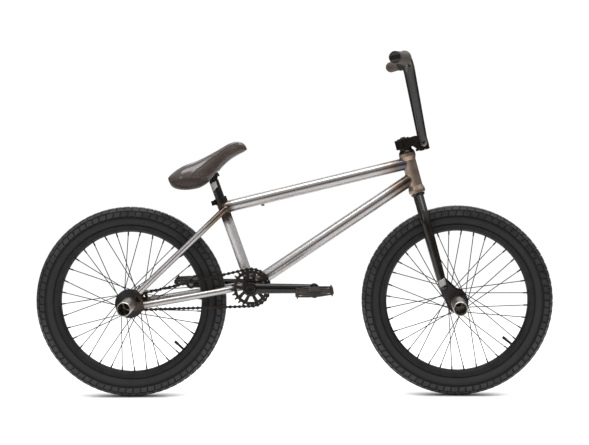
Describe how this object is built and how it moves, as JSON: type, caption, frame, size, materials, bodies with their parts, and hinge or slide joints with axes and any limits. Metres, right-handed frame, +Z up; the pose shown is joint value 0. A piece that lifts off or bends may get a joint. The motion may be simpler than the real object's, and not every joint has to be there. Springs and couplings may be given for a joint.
{
  "type": "bmx bike",
  "caption": "Freestyle bicycle with small wheels, raised handlebar with crossbar, upturned padded seat, black cranks and foot pegs on one side.",
  "frame": {"origin": "on the ground, midway between the two wheel axles", "axes": "+X forwards, +Y to the rider's left, +Z up"},
  "size_m": [1.4076, 0.7392, 0.9314],
  "materials": {
    "raw_steel": "clear-coated raw steel tubes with brown heat tints at the joints",
    "bearing_steel": "ground bearing steel",
    "black_paint": "glossy black",
    "black_alloy": "black anodised aluminium alloy",
    "fastener_steel": "black oxide",
    "bare_steel": "turned steel",
    "peg_steel": "bare silver steel",
    "chain_steel": "black chain, lightly oiled",
    "spoke_steel": "black spokes and nipples",
    "tyre_rubber": "matt charcoal rubber",
    "tube_rubber": "butyl rubber",
    "grip_rubber": "soft brown rubber",
    "black_plastic": "black moulded plastic",
    "pedal_plastic": "black moulded plastic",
    "brown_leather": "dark brown leather, stitched"
  },
  "bodies": {
    "frame": {"head_tube": "raw_steel", "top_tube": "raw_steel", "down_tube": "raw_steel", "seat_tube": "raw_steel", "bottom_bracket_shell": "raw_steel", "chainstays": "raw_steel", "seat_stays": "raw_steel", "rear_dropouts": "raw_steel", "bottom_bracket_bearings": "bearing_steel", "headset_bearings": "bearing_steel", "seat_clamp": "black_alloy", "seat_clamp_bolt": "fastener_steel", "rear_axle": "fastener_steel", "rear_axle_nuts_and_spacers": "fastener_steel", "rear_peg": "peg_steel", "rear_hub_guard": "black_alloy", "chain_upper_run": "chain_steel", "chain_lower_run": "chain_steel", "chain_wraps": "chain_steel"},
    "fork": {"fork_steerer": "black_paint", "fork_leg_right": "black_paint", "fork_leg_left": "black_paint", "headset_cover": "black_alloy", "preload_cap_and_bolt": "black_alloy", "stem_body": "black_alloy", "stem_face_plate": "black_alloy", "stem_bolts": "fastener_steel", "front_axle": "fastener_steel", "front_axle_nuts_and_spacers": "fastener_steel", "front_peg": "peg_steel"},
    "handlebar": {"handlebar": "black_paint", "handlebar_crossbar": "black_paint", "grips": "grip_rubber", "bar_end_plugs": "black_plastic"},
    "front_wheel": {"front_hub_shell": "black_alloy", "front_hub_bearings": "bearing_steel", "front_spokes": "spoke_steel", "front_rim": "black_alloy", "front_inner_tube": "tube_rubber", "front_tyre": "tyre_rubber"},
    "rear_wheel": {"rear_hub_shell": "black_alloy", "rear_hub_bearings": "bearing_steel", "rear_spokes": "spoke_steel", "rear_rim": "black_alloy", "rear_inner_tube": "tube_rubber", "rear_tyre": "tyre_rubber"},
    "driver": {"driver_cog": "bare_steel"},
    "crank": {"crank_spindle": "bare_steel", "crank_arm_right": "black_paint", "crank_arm_left": "black_paint", "crank_bolts_and_spacers": "fastener_steel", "sprocket": "black_alloy", "pedal_spindles": "bare_steel"},
    "right_pedal": {"right_pedal_body": "pedal_plastic"},
    "left_pedal": {"left_pedal_body": "pedal_plastic"},
    "seat_post": {"seat_post": "black_alloy", "seat_pivot_bolt": "fastener_steel"},
    "seat": {"seat_shell": "black_plastic", "seat_cushion": "brown_leather"}
  },
  "joints": [
    {"name": "steering", "type": "hinge", "parent": "frame", "child": "fork", "pos_m": [0.41705, 0, 0.26], "axis": [-0.263, 0, 0.9648], "continuous": true},
    {"name": "bar_tilt", "type": "hinge", "parent": "fork", "child": "handlebar", "pos_m": [0.35146, -0.00266, 0.6904], "axis": [0.0513, 0.9986, 0.014], "range_deg": [-15, 15]},
    {"name": "front_wheel_spin", "type": "hinge", "parent": "fork", "child": "front_wheel", "pos_m": [0.44396, -0.00138, 0.25999], "axis": [0.0513, 0.9986, 0.014], "continuous": true},
    {"name": "rear_wheel_spin", "type": "hinge", "parent": "frame", "child": "rear_wheel", "pos_m": [-0.444, 0, 0.26], "axis": [0, 1, 0], "continuous": true},
    {"name": "crank_spin", "type": "hinge", "parent": "frame", "child": "crank", "pos_m": [-0.116, 0, 0.3015], "axis": [0, 1, 0], "continuous": true},
    {"name": "driver_spin", "type": "hinge", "parent": "frame", "child": "driver", "pos_m": [-0.444, 0, 0.26], "axis": [0, 1, 0], "continuous": true},
    {"name": "right_pedal_spin", "type": "hinge", "parent": "crank", "child": "right_pedal", "pos_m": [0.054, 0, 0.3015], "axis": [0, 1, 0], "continuous": true},
    {"name": "left_pedal_spin", "type": "hinge", "parent": "crank", "child": "left_pedal", "pos_m": [-0.286, 0, 0.3015], "axis": [0, 1, 0], "continuous": true},
    {"name": "seat_height", "type": "slide", "parent": "frame", "child": "seat_post", "axis": [-0.3305, 0, 0.9438], "range_m": [-0.02, 0.06]},
    {"name": "seat_tilt", "type": "hinge", "parent": "seat_post", "child": "seat", "pos_m": [-0.21995, 0, 0.59832], "axis": [0, 1, 0], "range_deg": [-10, 10]}
  ],
  "couplings": [
    {"joint": "driver_spin", "follows": "crank_spin", "ratio": 2.7778}
  ]
}
